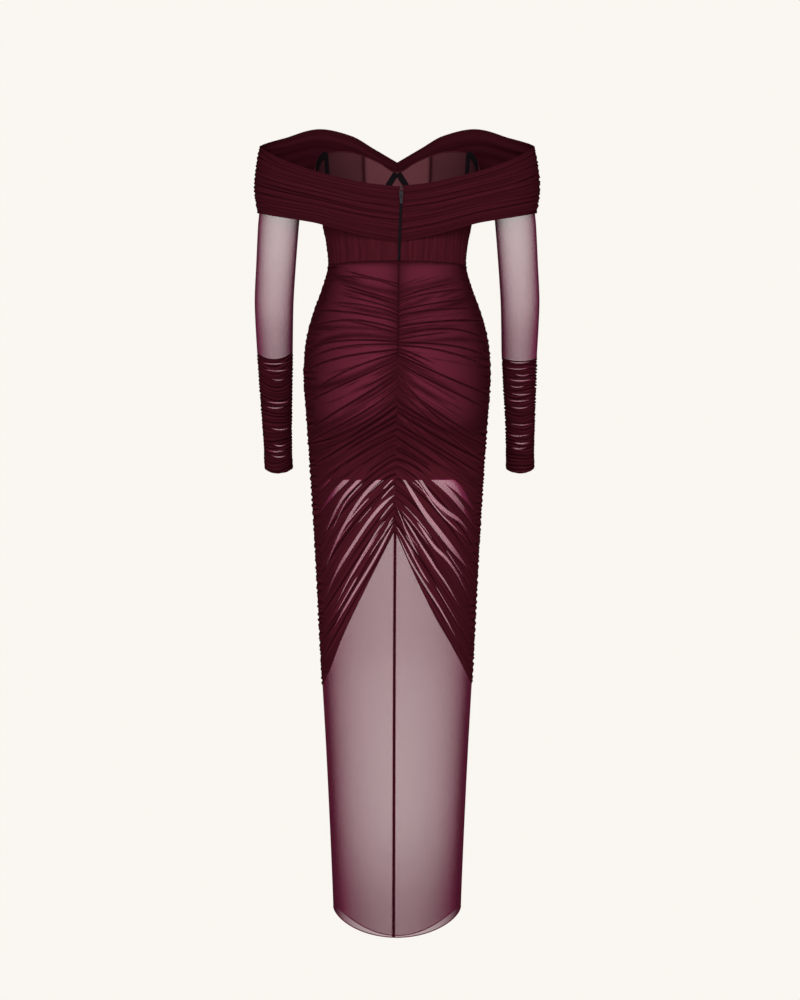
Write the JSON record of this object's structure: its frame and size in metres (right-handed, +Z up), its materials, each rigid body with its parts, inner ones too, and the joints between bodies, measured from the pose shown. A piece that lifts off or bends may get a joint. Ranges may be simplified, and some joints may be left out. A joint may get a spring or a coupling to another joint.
{
  "type": "off-shoulder dress",
  "caption": "Floor-length off-shoulder gown of sheer mesh with a pleated band around the arms, ruched hips and cuffs, a short opaque lining and a zip up the back.",
  "frame": {"origin": "middle of the wearer's body on the waist seam, where the dress is held", "axes": "+Z up, -Y the wearer's front, +X the wearer's left"},
  "size_m": [0.4935, 0.3147, 1.427],
  "materials": {
    "mesh": "fine sheer stretch mesh, dull, opaque where it is gathered",
    "lining": "opaque knitted lining, dull",
    "corset": "smooth opaque cup cloth, dull",
    "tape": "black woven tape, dull",
    "metal": "grey metal, satin"
  },
  "bodies": {
    "dress": {"band_back_left": "mesh", "band_back_right": "mesh", "band_front_left": "mesh", "band_front_right": "mesh", "skirt_back_left": "mesh", "lining_back_left": "lining", "bodice_back_left": "mesh", "skirt_back_right": "mesh", "lining_back_right": "lining", "bodice_back_right": "mesh", "skirt_front": "mesh", "lining_front": "lining", "bodice_front": "mesh", "corset_back_left": "corset", "corset_cup_left": "corset", "cup_binding_left": "corset", "tape_center_left": "tape", "tape_side_left": "tape", "sleeve_left": "mesh", "cuff_left": "mesh", "corset_back_right": "corset", "corset_cup_right": "corset", "cup_binding_right": "corset", "tape_center_right": "tape", "tape_side_right": "tape", "sleeve_right": "mesh", "cuff_right": "mesh", "corset_front_center": "corset", "back_seam_strip": "mesh", "zip_chain": "tape", "zip_slider": "metal", "zip_eye": "metal", "zip_hook": "metal"},
    "pull_tab": {"zip_pull_tab": "metal"}
  },
  "joints": [
    {"name": "pull_tab_swing", "type": "hinge", "parent": "dress", "child": "pull_tab", "pos_m": [-0.00702, 0.10823, 0.10895], "axis": [1, 0, 0], "range_deg": [0, 150]}
  ]
}
